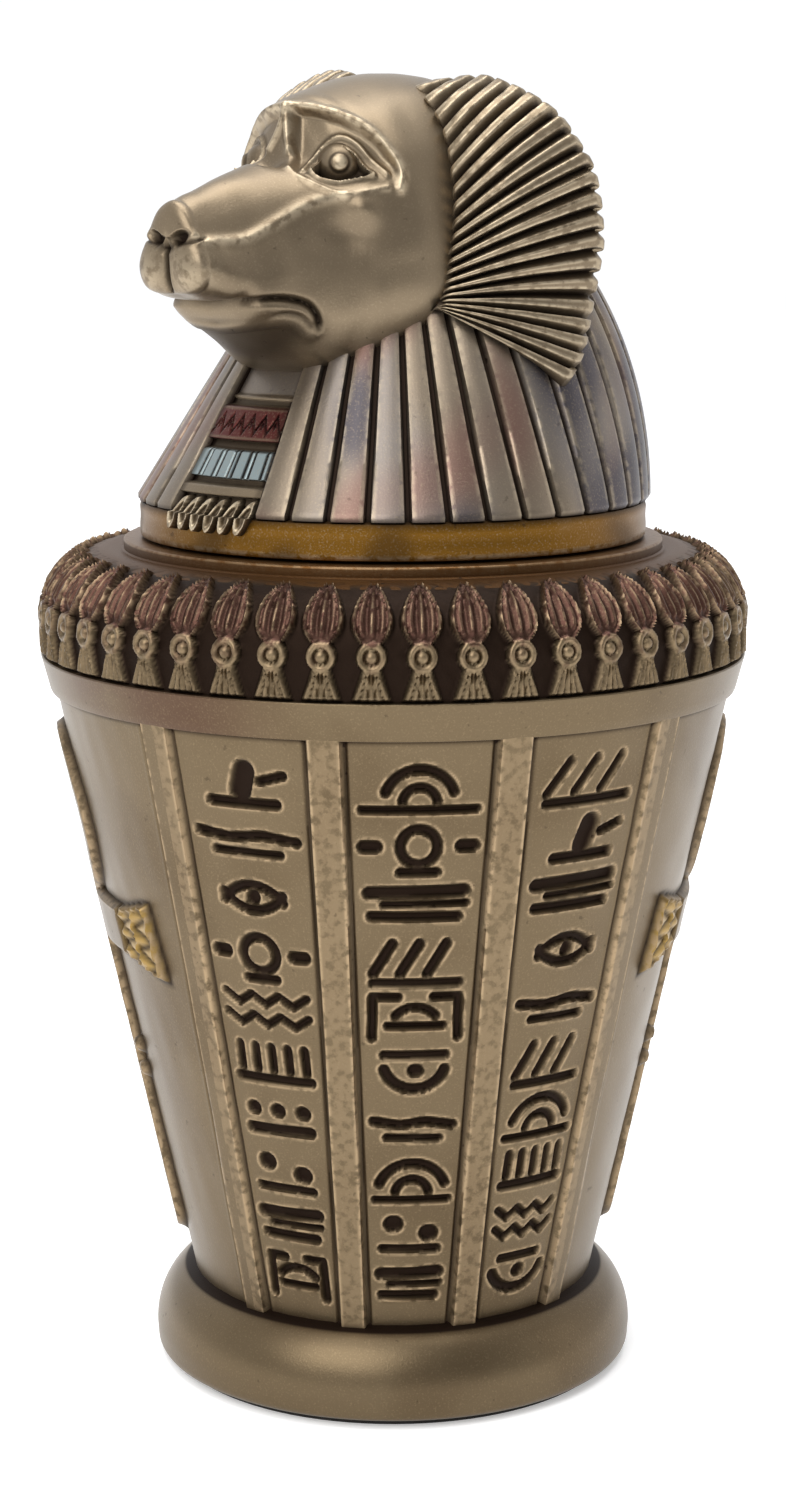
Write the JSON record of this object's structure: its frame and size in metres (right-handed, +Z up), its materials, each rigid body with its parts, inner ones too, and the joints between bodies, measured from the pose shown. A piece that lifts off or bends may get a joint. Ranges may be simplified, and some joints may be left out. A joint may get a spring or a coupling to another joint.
{
  "type": "canopic jar",
  "caption": "Tapering souvenir jar with incised columns, a ring of flowers on its shoulder and a lift-off lid with a baboon's head in a ribbed mane.",
  "frame": {"origin": "middle of the underside, where the felt pad meets the surface that the jar stands on", "axes": "+Z up along the jar's axis; -Y through the middle of the three front columns of marks. The head on the lid looks 48 degrees from -Y towards -X"},
  "size_m": [0.0874, 0.0874, 0.1606],
  "materials": {
    "felt": "black felt",
    "bronze_resin": "cold-cast resin with a satin bronze patina, dark in the hollows and copper red on the flowers",
    "lid_resin": "cold-cast resin with a satin bronze patina, silvery stripes and an amber gold band"
  },
  "bodies": {
    "root": {"felt_pad": "felt", "jar": "bronze_resin", "lid": "lid_resin"}
  },
  "joints": []
}
